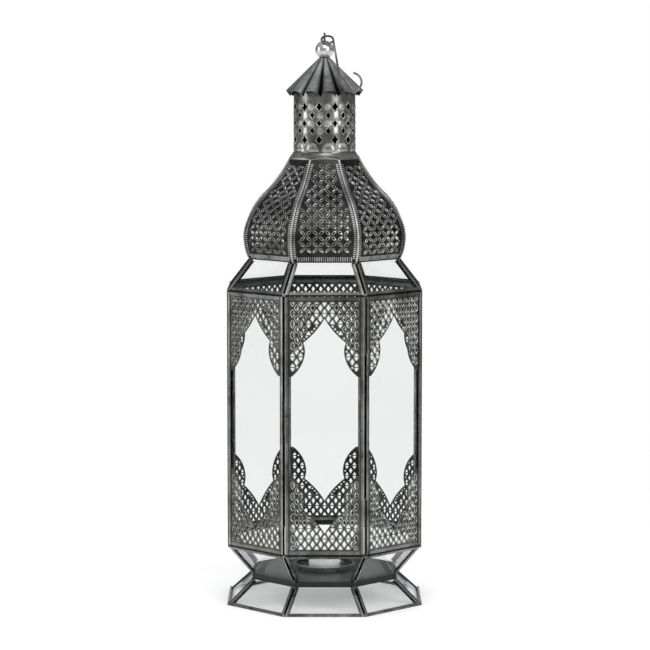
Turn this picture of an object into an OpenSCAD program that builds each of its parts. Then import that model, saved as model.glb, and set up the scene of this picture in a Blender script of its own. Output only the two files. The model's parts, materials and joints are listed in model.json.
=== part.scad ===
// Standing and hanging lantern: an eight sided glazed cage on a splayed foot,
// with a pierced onion dome, a pierced neck, a fluted cap and a wire hook.
// Millimetres, +Z up, origin at the centre of the foot. Side 1 is the door and faces -Y.

/* [Cage] */
// Centre to flat of the eight sided cage
cage_r = 115; // [105:1:125]
// Height of the tall windows, between the two ring plates
window_h = 303; // [250:1:360]
// Centre to flat at the waist, where the foot and the cage meet
waist_r = 86; // [80:1:92]
// Centre to flat of the foot on the ground
foot_r = 116; // [105:1:125]
// Height of the foot
foot_h = 29; // [26:1:40]
// Height of the tray rim between the foot and the waist glass
tray_h = 6.5; // [5:0.5:10]
// Height of the sloping waist glass
waist_h = 36; // [30:0.5:42]

/* [Came and glass] */
// Thickness of the folded strip that holds the glass
came_t = 3.2; // [3.2:0.1:4]
// Width of the strip round the tall windows
came_w = 4.6; // [4:0.1:6]
// Width of the slanting strips on the sloping tiers
slope_came_w = 4; // [3.8:0.1:4.5]
// Width of the level strips on the sloping tiers
level_came_w = 4.8; // [4.6:0.1:5.5]
// Sheet thickness of the strip
came_wall = 0.3; // [0.3:0.05:0.4]
// Glass thickness
glass_t = 2; // [1.8:0.1:2]
// Sheet thickness of the pierced panels
fret_t = 0.5; // [0.4:0.1:0.5]

/* [Roof] */
// Height of the sloping shoulder glass
shoulder_h = 35.5; // [30:0.5:42]
// Centre to flat at the top of the shoulder
shoulder_r = 88; // [82:1:90]
// Greatest centre to flat of the dome
dome_belly_r = 94.5; // [92:0.5:98]
// Height of the dome above its ring plate
dome_h = 116; // [100:1:130]
// Sheet thickness of the dome and the cap
roof_t = 0.7; // [0.6:0.1:0.9]

/* [Neck and cap] */
// Outer radius of the pierced neck
neck_r = 36.5; // [34:0.5:38]
// Height of the neck tube
neck_h = 71; // [60:1:80]
// Number of hole columns round the neck, an even number
neck_columns = 12; // [10:2:14]
// Number of flutes in the cap
cap_flutes = 12; // [10:2:14]
// Radius of the cap at its ridges
cap_r = 46; // [44:0.5:48]
// Height of the cap
cap_h = 38; // [34:1:42]
// Radius of the ball
ball_r = 11; // [10:0.5:12]

/* [Door] */
// Gap round the door frame
door_gap = 0.4; // [0.3:0.1:0.6]
// Radius of the rolled hinge barrels
barrel_r = 1.5; // [1.4:0.1:1.6]
// Radius of the hinge pin wire
pin_r = 0.9; // [0.8:0.1:0.9]

/* [Candle] */
// Radius of the tealight
tealight_r = 19; // [18:0.5:20]
// Radius of the candle dish
dish_r = 36; // [30:1:40]

/* [Hidden] */
$fn = 48;
SIDES = 8;
TURN = 360 / SIDES;
half_tan = tan(TURN / 2);
joint = 0.05;                    // soldered joints are drawn this far apart
ring_t = 1;                      // thickness of the ring plates
ring_set = 1.5;                  // how far they are set back from the glass tiers
ring_w = 8;
running_gap = 0.05;              // pin in barrel, shank in ball and nut
far = 400;                       // reaches past everything

waist_z = foot_h + tray_h;
ring1_z = waist_z + waist_h;     // under the windows
cage_z = ring1_z + ring_t;
ring2_z = cage_z + window_h;     // over the windows
shoulder_z = ring2_z + ring_t;
ring3_z = shoulder_z + shoulder_h;
dome_z = ring3_z + ring_t;
collar_z = dome_z + dome_h;
collar_h = 8;
neck_z = collar_z + collar_h;
neck_top = neck_z + neck_h;
cap_z = neck_top + 2;            // height of the ridges at the rim
cap_apex_z = cap_z + cap_h;
ball_rise = 9.5;                 // the ball's middle over the cap's point
ball_z = cap_apex_z + ball_rise;
eye_r = 3.4;
eye_wire = 1.2;
eye_z = ball_z + ball_r + joint + eye_wire + eye_r;

zinc = [0.42, 0.43, 0.43];
dark_zinc = [0.30, 0.32, 0.31];
clear = [0.85, 0.92, 0.92, 0.35];

// ---- Sloping tiers ----------------------------------------------------------------
// A tier is [centre to flat below, height below, centre to flat above, height above,
// width of its lower strip, width of its upper strip]. With no strip at one end, the
// slanting strips and the glass run right up to the plate there.
foot_tier = [foot_r, 0, waist_r, foot_h, level_came_w, 0];
waist_tier = [waist_r, waist_z, cage_r, ring1_z, 0, level_came_w];
cage_tier = [cage_r, cage_z, cage_r, ring2_z, came_w, came_w];
shoulder_tier = [cage_r, shoulder_z, shoulder_r, ring3_z, level_came_w, 0];

function slant(t) = norm([t[2] - t[0], t[3] - t[1]]);
function lean(t) = atan2(t[3] - t[1], t[0] - t[2]);
// Angle between the faces of neighbouring sides
function fold(t) = acos(pow(sin(lean(t)), 2) * cos(TURN) + pow(cos(lean(t)), 2));
function side_inset(t) = came_t * tan(fold(t) / 2) + joint;
// How far up the slope a channel starts, so that a wall is left along the level edge
function level_edge(t) = ((came_t - came_wall) * abs(cos(lean(t))) + came_wall) / sin(lean(t));
// Half width of a face at slant height y, taken in by d square to its slanting edge
function half_width(t, y, d) =
    let (low = t[0] * half_tan, high = t[2] * half_tan, s = slant(t))
    low + (high - low) * y / s - d * norm([high - low, s]) / s;

// Draws children on a side's face: x across, y up the slope, z outwards from its outside
module on_side(side, t)
    rotate([0, 0, TURN * (side - 1)])
    translate([0, -t[0], t[1]])
    rotate([lean(t), 0, 0])
    children();

module keep_between(low_z, high_z) intersection() {
    children();
    translate([-far, -far, low_z]) cube([2 * far, 2 * far, high_z - low_z]);
}

// A face's outline, taken in by side and by low and high at its ends
module face(t, side, low, high) {
    s = slant(t);
    polygon([
        [-half_width(t, low, side), low],
        [half_width(t, low, side), low],
        [half_width(t, s - high, side), s - high],
        [-half_width(t, s - high, side), s - high]
    ]);
}

// The outlines of the mitred strips round a face: bottom, right, top, left
function strip(t, side, end, w, k) =
    let (
        s = slant(t),
        y = [end, end + t[4], s - end - t[5], s - end],
        x = [half_width(t, y[0], side), half_width(t, y[1], side + w),
             half_width(t, y[2], side + w), half_width(t, y[3], side)]
    )
    k == 0 ? [[-x[0] + joint, y[0]], [x[0] - joint, y[0]], [x[1] - joint, y[1]], [-x[1] + joint, y[1]]]
    : k == 1 ? [[x[0], y[0]], [x[3], y[3]], [x[2], y[2]], [x[1], y[1]]]
    : k == 2 ? [[x[3] - joint, y[3]], [-x[3] + joint, y[3]], [-x[2] + joint, y[2]], [x[2] - joint, y[2]]]
    : [[-x[0], y[0]], [-x[1], y[1]], [-x[2], y[2]], [-x[3], y[3]]];
function has_strip(t, k) = k == 0 ? t[4] > 0 : k == 2 ? t[5] > 0 : true;

// Folded channels round one face, open inwards for the glass
module came_frame(t, side, end, w)
    for (k = [0:3]) if (has_strip(t, k)) difference() {
        translate([0, 0, -came_t]) linear_extrude(came_t) polygon(strip(t, side, end, w, k));
        translate([0, 0, came_wall - came_t]) linear_extrude(came_t - 2 * came_wall)
            face(t, side + came_wall,
                 t[4] > 0 ? end + level_edge(t) : -came_t, t[5] > 0 ? end + level_edge(t) : -came_t);
    }

// Glass stands on the inner lip of the channel
module pane(t, side, end)
    translate([0, 0, came_wall - came_t]) linear_extrude(glass_t)
        face(t, side + 2 * came_wall,
             t[4] > 0 ? end + level_edge(t) + came_wall : joint,
             t[5] > 0 ? end + level_edge(t) + came_wall : joint);

module tier_came(t, low_z, high_z)
    for (side = [1:SIDES])
        keep_between(low_z, high_z) on_side(side, t) came_frame(t, side_inset(t), 0, slope_came_w);

module tier_panes(t)
    for (side = [1:SIDES]) on_side(side, t) pane(t, side_inset(t), 0);

module base_came() color(zinc) tier_came(foot_tier, 0, foot_h);
module base_panes() color(clear) tier_panes(foot_tier);
module waist_came() color(zinc) tier_came(waist_tier, waist_z, ring1_z);
module waist_panes() color(clear) tier_panes(waist_tier);
module shoulder_came() color(zinc) tier_came(shoulder_tier, shoulder_z, ring3_z);
module shoulder_panes() color(clear) tier_panes(shoulder_tier);

module octagon(r) circle(r / cos(TURN / 2), $fn = SIDES);

// ---- Ring plates between the tiers -------------------------------------------------
module ring_plate(r, z) translate([0, 0, z + joint / 2])
    for (side = [1:SIDES]) rotate([0, 0, TURN * (side - 1)])
        linear_extrude(ring_t - joint) polygon([
            [-r * half_tan + joint, -r],
            [r * half_tan - joint, -r],
            [(r - ring_w) * half_tan - joint, -r + ring_w],
            [-(r - ring_w) * half_tan + joint, -r + ring_w]
        ]);

module tier_rings() color(dark_zinc) {
    ring_plate(cage_r - ring_set, ring1_z);
    ring_plate(cage_r - ring_set, ring2_z);
    ring_plate(shoulder_r - ring_set, ring3_z);
}

// ---- Tray, dish and candle ---------------------------------------------------------
tray_t = 1;
module floor_tray() color([0.38, 0.42, 0.41]) difference() {
    translate([0, 0, foot_h]) linear_extrude(tray_h) rotate(TURN / 2) octagon(waist_r);
    translate([0, 0, foot_h - 1]) linear_extrude(tray_h - tray_t + 1)
        rotate(TURN / 2) octagon(waist_r - tray_t);
}

dish_h = 7.5;
dish_t = 0.8;
module candle_dish() color(zinc) translate([0, 0, waist_z]) difference() {
    cylinder(r = dish_r, h = dish_h);
    translate([0, 0, dish_t]) cylinder(r = dish_r - dish_t, h = dish_h);
}

tealight_h = 16;
tealight_t = 0.4;
wax_h = 12;
wick_r = 0.7;
wick_h = 8;
wick_sunk = 1;                   // how deep it stands in the wax
tealight_z = waist_z + dish_t;
module tealight_cup() color("silver") translate([0, 0, tealight_z]) difference() {
    cylinder(r = tealight_r, h = tealight_h);
    translate([0, 0, tealight_t]) cylinder(r = tealight_r - tealight_t, h = tealight_h);
}

module tealight_wax() color("ivory") translate([0, 0, tealight_z + tealight_t]) {
    cylinder(r = tealight_r - tealight_t, h = wax_h);
    translate([0, 0, wax_h - wick_sunk]) cylinder(r = wick_r, h = wick_h + wick_sunk);
}

// ---- Tall windows ------------------------------------------------------------------
cage_inset = side_inset(cage_tier);
module body_came() color(zinc)
    for (side = [2:SIDES]) on_side(side, cage_tier) came_frame(cage_tier, cage_inset, 0, came_w);
module window_glass(side) color(clear) on_side(side, cage_tier) pane(cage_tier, cage_inset, 0);

// Pierced panel: the opening runs from its point, out to a cusp, in round a lobe
// and out again to the tip at the frame. Depths are from the panel's level edge.
point_y = 24.8;
cusp = [24.8, 52.8];
lobe_a = [19.5, 65];
lobe_b = [25, 82];
tip = [38.9, 92.6];
bulge = [9, 40.5];               // pulls the edge between point and cusp into the opening
steps = 8;
function bezier3(a, b, c, d, u) =
    pow(1 - u, 3) * a + 3 * pow(1 - u, 2) * u * b + 3 * (1 - u) * u * u * c + pow(u, 3) * d;
function bezier2(a, b, c, u) = (1 - u) * (1 - u) * a + 2 * (1 - u) * u * b + u * u * c;
function half_opening() = concat(
    [for (k = [0:steps]) bezier2([0, point_y], bulge, cusp, k / steps)],
    [for (k = [1:steps]) bezier3(cusp, lobe_a, lobe_b, tip, k / steps)]
);
// Half width of the opening at depth y: zero above its point
function opening_at(y) =
    let (
        p = half_opening(),
        hits = [for (k = [0:len(p) - 2]) if (p[k][1] <= y && y < p[k + 1][1])
            p[k][0] + (p[k + 1][0] - p[k][0]) * (y - p[k][1]) / (p[k + 1][1] - p[k][1])]
    )
    y < point_y ? 0 : y >= tip[1] ? far : len(hits) > 0 ? hits[0] : far;

fret_half = half_width(cage_tier, 0, cage_inset) - 2 * came_wall;
hole_pitch = 9.3;
band_h = 12.6;
first_band = 12.2;               // depth of the first band's middle
margin = 1.8;                    // metal left along the opening
diamond = [4.2, 7.1];            // width and height
wedge = [4.6, 3.8];
wedge_y = 3.8;                   // from the band's middle to the middle of a wedge
bands = 7;
fret_columns = 10;
// Whether a hole of width w and height h at [x, y] leaves metal all round it
function fits(x, y, w, h) =
    abs(x) + w / 2 < fret_half - came_w
    && y + h / 2 < tip[1] - margin
    && (y + h / 2 < point_y - margin
        || abs(x) - w / 2 > max(opening_at(y - h / 2), opening_at(y + h / 2)) + margin);

module fret_outline() {
    p = half_opening();
    polygon(concat(
        [[-fret_half, 0], [fret_half, 0], [fret_half, tip[1]]],
        [for (k = [len(p) - 1:-1:0]) p[k]],
        [for (k = [1:len(p) - 1]) [-p[k][0], p[k][1]]],
        [[-fret_half, tip[1]]]
    ));
}

// Drawn hanging: x across, y down from the panel's level edge. Each band has diamonds,
// with a wedge over and under every place where two of their neighbours' bars cross.
module fret_flat() difference() {
    fret_outline();
    for (band = [0:bands - 1], column = [-fret_columns / 2:fret_columns / 2 - 1]) {
        x = hole_pitch * (column + 0.5);
        y = first_band + band_h * band;
        if (fits(x, y, diamond[0], diamond[1])) translate([x, y])
            polygon([[-diamond[0] / 2, 0], [0, -diamond[1] / 2], [diamond[0] / 2, 0], [0, diamond[1] / 2]]);
        for (hand = [-1, 1]) if (fits(x + hole_pitch / 2, y + hand * wedge_y, wedge[0], wedge[1]))
            translate([x + hole_pitch / 2, y + hand * wedge_y]) scale([1, hand])
            polygon([[-wedge[0] / 2, wedge[1] / 2], [0, -wedge[1] / 2], [wedge[0] / 2, wedge[1] / 2]]);
    }
}

fret_z = came_wall - came_t + glass_t + joint;
module upper_fret(side) color(dark_zinc) on_side(side, cage_tier)
    translate([0, slant(cage_tier) - 2 * came_wall, fret_z])
    linear_extrude(fret_t) mirror([0, 1]) fret_flat();
module lower_fret(side) color(dark_zinc) on_side(side, cage_tier)
    translate([0, 2 * came_wall, fret_z]) linear_extrude(fret_t) fret_flat();

// Solder run into the groove at each fixed corner of the cage
seam = 1.1;
module solder_seams() color("silver")
    for (side = [2:SIDES - 1]) rotate([0, 0, TURN * (side - 0.5)])
        translate([0, -(cage_r - came_t) / cos(TURN / 2), cage_z])
        linear_extrude(window_h) polygon([
            [0, -joint],
            [-seam * sin(TURN / 2) + joint, -seam * cos(TURN / 2) - joint],
            [seam * sin(TURN / 2) - joint, -seam * cos(TURN / 2) - joint]
        ]);

// ---- Dome --------------------------------------------------------------------------
// Half section of the dome: up from the ring plate, round the belly, in a long
// reverse curve to the collar. Points are [centre to flat, height above the plate].
dome_foot = [shoulder_r + 0.5, 0];
dome_belly = [dome_belly_r, dome_h * 0.23];
dome_turn = [dome_belly_r * 0.75, dome_h * 0.64];
dome_top = [neck_r + 4.5, dome_h];
// Pulls at the ends of the section's curves
foot_pull = [4, 7];
belly_pull = [0, 10];
belly_lift = [0, 15];            // the belly runs straight up before it leans in
top_pull = [5, -10];
flank_from = [dome_belly_r + 0.5, dome_h * 0.45];
shoulder_steps = 6;
flank_steps = 8;
function dome_section(out) =
    let (
        // direction of the flank where the curve turns over
        flank = (dome_turn - flank_from) / 2,
        low = [for (k = [0:shoulder_steps])
            bezier3(dome_foot, dome_foot + foot_pull, dome_belly - belly_pull, dome_belly,
                    k / shoulder_steps)],
        mid = [for (k = [1:flank_steps])
            bezier3(dome_belly, dome_belly + belly_lift, dome_turn - flank, dome_turn, k / flank_steps)],
        high = [for (k = [1:flank_steps])
            bezier3(dome_turn, dome_turn + flank, dome_top + top_pull, dome_top, k / flank_steps)]
    )
    [for (p = concat(low, mid, high)) p + [out, 0]];

module dome_strip(inner, outer)
    polygon(concat(dome_section(outer), [for (k = [len(dome_section(0)) - 1:-1:0]) dome_section(inner)[k]]));

rib_w = 2;
rib_h = 0.9;
// Two upright planes half a rib from the corners leave room for the ribs
gore_start = (rib_w / 2 + joint) / sin(TURN / 2);
module gore_blank() intersection() {
    translate([0, cage_r / 2, 0]) rotate([90, 0, 0]) linear_extrude(cage_r) dome_strip(-roof_t, 0);
    linear_extrude(dome_h) polygon([
        [gore_start, 0],
        [cage_r, -(cage_r - gore_start) * half_tan],
        [cage_r, (cage_r - gore_start) * half_tan]
    ]);
}

// Diamond holes in staggered rows, kept off the gore's edges
pierce_w = 4.2;
pierce_h = 4.4;
pierce_pitch = 7.3;
pierce_row_h = 6.9;
pierce_rows = 14;
pierce_first = 14;               // height of the lowest row
pierce_reach = 4.5;              // most columns to either side of the middle
gore_margin = 7;
function dome_half_at(z) =
    let (p = dome_section(0), k = [for (k = [0:len(p) - 2]) if (p[k][1] <= z && z < p[k + 1][1]) k][0])
    half_tan * (p[k][0] + (p[k + 1][0] - p[k][0]) * (z - p[k][1]) / (p[k + 1][1] - p[k][1]));
module gore_holes()
    for (row = [0:pierce_rows - 1]) {
        z = pierce_first + pierce_row_h * row;
        for (column = [-pierce_reach - row % 2 / 2:pierce_reach])
            if (abs(pierce_pitch * column) + pierce_w / 2 < dome_half_at(z) - gore_margin)
                translate([pierce_pitch * column, z]) polygon([
                    [-pierce_w / 2, 0], [0, -pierce_h / 2], [pierce_w / 2, 0], [0, pierce_h / 2]
                ]);
    }

module dome_gore(side) color(dark_zinc) translate([0, 0, dome_z]) rotate([0, 0, TURN * (side - 1) - 90])
    difference() {
        gore_blank();
        rotate([90, 0, 90]) linear_extrude(cage_r) gore_holes();
    }

// Each rib stands on the corner line, where the section is wider by 1 / cos
module dome_ribs() color(zinc)
    for (side = [1:SIDES]) rotate([0, 0, TURN * (side - 0.5) - 90])
        translate([0, rib_w / 2, dome_z]) rotate([90, 0, 0]) linear_extrude(rib_w)
        polygon(concat(
            [for (p = dome_section(0)) [p[0] / cos(TURN / 2) + rib_h, p[1]]],
            [for (k = [len(dome_section(0)) - 1:-1:0])
                [dome_section(0)[k][0] / cos(TURN / 2) - roof_t, dome_section(0)[k][1]]]
        ));

// ---- Neck --------------------------------------------------------------------------
neck_t = 0.8;
flare = [2.5, collar_h * 0.6];   // how far the collar stands out, and where
collar_edge = 1;                 // and at its top
collar_lap = 0.4;                // its foot laps over the dome's sheet
// A round flare, trimmed to the dome's eight sides at its foot
module neck_collar() color(zinc) translate([0, 0, collar_z + joint]) intersection() {
    rotate_extrude($fn = 96) polygon([
        [neck_r - neck_t, 0],
        [dome_top[0] / cos(TURN / 2) + collar_edge, 0],
        [neck_r + flare[0], flare[1]],
        [neck_r + collar_edge, collar_h - 2 * joint],
        [neck_r - neck_t, collar_h - 2 * joint]
    ]);
    linear_extrude(collar_h) rotate(TURN / 2) octagon(dome_top[0] + collar_lap);
}

neck_rows = 5;
row_h = 9.7;
neck_first_row = 16;
neck_turn = -9;                  // turns the columns a little from the front
neck_hole = [2.8, 3.8];          // half width and half height
end_row_scale = 1.25;            // the lowest and the highest row have larger holes
module neck_tube() color(zinc) translate([0, 0, neck_z]) difference() {
    cylinder(r = neck_r, h = neck_h, $fn = 96);
    translate([0, 0, -1]) cylinder(r = neck_r - neck_t, h = neck_h + 2, $fn = 96);
    for (row = [0:neck_rows - 1], column = [0:neck_columns / 2 - 1]) {
        size = neck_hole * (row == 0 || row == neck_rows - 1 ? end_row_scale : 1);
        rotate([0, 0, (column + (row % 2) / 2) * 360 / neck_columns + neck_turn])
            translate([0, far / 2, neck_first_row + row * row_h]) rotate([90, 0, 0])
            linear_extrude(far) polygon([[-size[0], 0], [0, -size[1]], [size[0], 0], [0, size[1]]]);
    }
}

// ---- Cap ---------------------------------------------------------------------------
// Rounded ridges and sharp valleys fade out towards the point.
cap_turn = 8;                    // a ridge stands this far to the right of the front
cap_top_r = 6.6;
valley_in = 4.5;
valley_drop = 6.5;
cap_rings = 8;
cap_cuts = cap_flutes * 8;
// 0 on a ridge, 1 at the bottom of a valley
function valley(k) = 1 - abs(cos(180 * cap_flutes * k / cap_cuts));
function cap_point(ring, k, inner) =
    let (
        u = ring / cap_rings,
        v = pow(valley(k), 1.5) * (1 - u),
        r = cap_r + (cap_top_r - cap_r) * u - valley_in * v - inner * roof_t,
        z = cap_z + cap_h * u - valley_drop * v - inner * roof_t,
        a = 360 * k / cap_cuts - 90 + cap_turn
    )
    [r * cos(a), r * sin(a), z];

module cap() color(dark_zinc) {
    n = cap_cuts;
    rings = cap_rings + 1;
    inner = n * rings;
    polyhedron(
        points = [
            for (side = [0, 1], ring = [0:cap_rings], k = [0:n - 1]) cap_point(ring, k, side)
        ],
        faces = [
            for (ring = [0:cap_rings - 1], k = [0:n - 1]) each let (
                a = ring * n + k, b = ring * n + (k + 1) % n, c = b + n, d = a + n
            ) [[a, c, b], [a, d, c], [inner + a, inner + b, inner + c], [inner + a, inner + c, inner + d]],
            for (k = [0:n - 1]) each let (j = (k + 1) % n, t = n * cap_rings)
                [[k, j, inner + j], [k, inner + j, inner + k],
                 [t + k, inner + t + j, t + j], [t + k, inner + t + k, inner + t + j]]
        ]
    );
}

// ---- Finial ------------------------------------------------------------------------
module finial_ball() color("silver") translate([0, 0, ball_z]) difference() {
    sphere(r = ball_r, $fn = 64);
    cylinder(r = eye_wire + running_gap, h = 4 * ball_r, center = true);
}

nut_h = 3;
nut_r = 5.2;
nut_z = cap_apex_z - 8;
shank_foot = cap_apex_z - 12;
module finial_eye() color(zinc) {
    translate([0, 0, eye_z]) rotate([0, 90, 0]) rotate_extrude($fn = 48)
        translate([eye_r, 0]) circle(eye_wire, $fn = 24);
    translate([0, 0, shank_foot]) cylinder(r = eye_wire, h = eye_z - eye_r - shank_foot);
}

module finial_nut() color(zinc) translate([0, 0, nut_z]) difference() {
    cylinder(r = nut_r, h = nut_h, $fn = 6);
    translate([0, 0, -1]) cylinder(r = eye_wire + running_gap, h = nut_h + 2);
}

// ---- Hook --------------------------------------------------------------------------
// A wire eye threaded through the finial eye, a straight shank, and a round hook
// that leans on the rim of the cap.
hook_wire = 1.25;
loop_r = 7;
loop_side = 3.4;                 // the loop sits this far to the right of the eye
loop_tilt = 37;                  // and hangs forward by this angle
loop_open = 35;                  // part of a turn left open at its end
bow_r = 12.5;
bow_lean = 26;
loop_back = [0, cos(loop_tilt), sin(loop_tilt)];
loop_c = [loop_side, 0, eye_z] - sqrt(loop_r * loop_r - loop_side * loop_side) * loop_back;
bow_up = [0, sin(bow_lean), cos(bow_lean)];
bow_c = [31, -37, cap_z + 10];
bow_end = 436;                   // the bow's angles run from the shank to the tip
shank_pull = [0, -5, -3];        // eases the loop's end into the straight shank
function loop_at(a) = loop_c + loop_r * (cos(a) * [1, 0, 0] + sin(a) * loop_back);
function bow_at(a) = bow_c + bow_r * (cos(a) * [1, 0, 0] + sin(a) * bow_up);
function shank_at(u) = loop_at(0) * (1 - u) + bow_at(180) * u;
hook_line = concat(
    [for (a = [360 - loop_open:-15:10]) loop_at(a)],
    [for (u = [0:0.2:1]) bezier3(loop_at(-5), loop_at(-5) + shank_pull, shank_at(0.3), shank_at(0.4), u)],
    [for (u = [0.5:0.12:0.9]) shank_at(u)],
    [for (a = [184:14:bow_end]) bow_at(a)]
);

// Sweeps a round wire along a line of points
function unit(v) = v / norm(v);
function along(p, k) = unit(p[min(k + 1, len(p) - 1)] - p[max(k - 1, 0)]);
// Carries the section's upright direction from point to point without twist
function carried(p, k, up) =
    let (t = along(p, k), next = unit(up - (up * t) * t))
    k == len(p) - 1 ? [next] : concat([next], carried(p, k + 1, next));
wire_up = [0.3, 0.2, 1];         // any direction that the wire never runs along
module wire(p, r, n = 10) {
    ups = carried(p, 0, wire_up);
    last = len(p) - 1;
    polyhedron(
        points = [for (k = [0:last], j = [0:n - 1]) let (side = cross(along(p, k), ups[k]), a = 360 * j / n)
            p[k] + r * (cos(a) * side + sin(a) * ups[k])],
        faces = concat(
            [[for (j = [0:n - 1]) j], [for (j = [n - 1:-1:0]) last * n + j]],
            [for (k = [0:last - 1], j = [0:n - 1]) each let (
                a = k * n + j, b = k * n + (j + 1) % n) [[a, a + n, b + n], [a, b + n, b]]]
        )
    );
}

module hanging_hook() color(zinc) wire(hook_line, hook_wire);

// ---- Door --------------------------------------------------------------------------
// The same window in its own frame, a little smaller all round
door_inset = cage_inset + door_gap;
module door_came() color(zinc) on_side(1, cage_tier) came_frame(cage_tier, door_inset, door_gap, came_w);
module door_glass() color(clear) on_side(1, cage_tier) pane(cage_tier, door_inset, door_gap);
door_trim = (fret_half - door_gap) / fret_half;
module door_upper_fret() color(dark_zinc) on_side(1, cage_tier)
    translate([0, slant(cage_tier) - 2 * came_wall - door_gap, fret_z])
    linear_extrude(fret_t) mirror([0, 1]) scale(door_trim) fret_flat();
module door_lower_fret() color(dark_zinc) on_side(1, cage_tier)
    translate([0, 2 * came_wall + door_gap, fret_z]) linear_extrude(fret_t) scale(door_trim) fret_flat();

// The hinges stand just outside the right front corner. Each is two rolled
// barrels on one wire pin: the lower barrel is fixed and the upper one is the door's.
hinge_h = 64;
hinge_out = 0.85;
hinge_end = 2;                   // from a ring plate to the nearer hinge
hinge_zs = [cage_z + hinge_end, ring2_z - hinge_end - hinge_h];
hinge_x = cage_r * half_tan + hinge_out * sin(TURN / 2);
hinge_y = -cage_r - hinge_out * cos(TURN / 2);
barrel_gap = 0.3;
leaf_t = 0.5;
leaf_w = 5.5;
leaf_start = 1;                  // from the pin to the leaf's near edge
pin_over = 1;                    // the pin stands out by this at both ends
module barrel(low, high, turn) translate([hinge_x, hinge_y, low]) difference() {
    union() {
        cylinder(r = barrel_r, h = high - low);
        rotate([0, 0, turn]) translate([-leaf_w - leaf_start, hinge_out * cos(TURN / 2) - leaf_t - joint, 0])
            cube([leaf_w, leaf_t, high - low]);
    }
    translate([0, 0, -1]) cylinder(r = pin_r + running_gap, h = high - low + 2);
}

// The fixed leaf is the door leaf's mirror image in the corner, so it lies on side 2
module fixed_knuckles() color(zinc) for (z = hinge_zs)
    translate([hinge_x, hinge_y, 0]) rotate([0, 0, TURN / 2]) mirror([1, 0, 0]) rotate([0, 0, -TURN / 2])
    translate([-hinge_x, -hinge_y, 0]) barrel(z, z + hinge_h / 2 - barrel_gap / 2, 0);
module door_knuckles() color(zinc) for (z = hinge_zs)
    barrel(z + hinge_h / 2 + barrel_gap / 2, z + hinge_h, 0);
module hinge_pins() color("silver") for (z = hinge_zs)
    translate([hinge_x, hinge_y, z - pin_over]) cylinder(r = pin_r, h = hinge_h + 2 * pin_over);

// A spring clip on the door's free edge: its bent lip closes over the next side's frame
catch_h = 41;
catch_w = 7;
catch_z = cage_z + 141;
lip_w = 4.5;
lip_gap = 0.4;
lip_bend = 0.2;                  // metal shared by the clip and its lip at the bend
knob_r = 2.2;
knob_stem = [1.3, 2];            // radius and length
knob_out = 3.2;                  // from the clip to the middle of the knob
module door_catch() color(zinc) translate([-cage_r * half_tan, -cage_r, catch_z]) {
    translate([0, -leaf_t, 0]) cube([catch_w, leaf_t, catch_h]);
    translate([0, -lip_gap, 0]) rotate([0, 0, -TURN]) translate([-lip_w, -leaf_t, 0])
        cube([lip_w + lip_bend, leaf_t, catch_h]);
    translate([catch_w / 2, -leaf_t, catch_h / 2]) rotate([90, 0, 0]) {
        cylinder(r = knob_stem[0], h = knob_stem[1]);
        translate([0, 0, knob_out]) sphere(r = knob_r);
    }
}

base_came();
base_panes();
floor_tray();
candle_dish();
tealight_cup();
tealight_wax();
waist_came();
waist_panes();
tier_rings();
body_came();
solder_seams();
window_glass(2);  // window_glass_2
window_glass(3);  // window_glass_3
window_glass(4);  // window_glass_4
window_glass(5);  // window_glass_5
window_glass(6);  // window_glass_6
window_glass(7);  // window_glass_7
window_glass(8);  // window_glass_8
upper_fret(2);  // upper_fret_2
upper_fret(3);  // upper_fret_3
upper_fret(4);  // upper_fret_4
upper_fret(5);  // upper_fret_5
upper_fret(6);  // upper_fret_6
upper_fret(7);  // upper_fret_7
upper_fret(8);  // upper_fret_8
lower_fret(2);  // lower_fret_2
lower_fret(3);  // lower_fret_3
lower_fret(4);  // lower_fret_4
lower_fret(5);  // lower_fret_5
lower_fret(6);  // lower_fret_6
lower_fret(7);  // lower_fret_7
lower_fret(8);  // lower_fret_8
shoulder_came();
shoulder_panes();
dome_gore(1);  // dome_gore_1
dome_gore(2);  // dome_gore_2
dome_gore(3);  // dome_gore_3
dome_gore(4);  // dome_gore_4
dome_gore(5);  // dome_gore_5
dome_gore(6);  // dome_gore_6
dome_gore(7);  // dome_gore_7
dome_gore(8);  // dome_gore_8
dome_ribs();
neck_collar();
neck_tube();
cap();
finial_ball();
finial_eye();
finial_nut();
fixed_knuckles();
hinge_pins();
door_came();
door_glass();
door_upper_fret();
door_lower_fret();
door_knuckles();
door_catch();
hanging_hook();
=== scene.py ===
"""Looks of the lantern: pierced sheet, glass, wire and candle, built round the CAD frame.

Flat patterns are drawn in millimetres and then laid on the lantern. The object
stands on z = 0 with its door facing -Y. Side 1 is the door; sides run on
anticlockwise, seen from above.
"""

import json
import math

import bpy
import numpy as np
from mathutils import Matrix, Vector, kdtree
from mathutils.geometry import delaunay_2d_cdt


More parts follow.
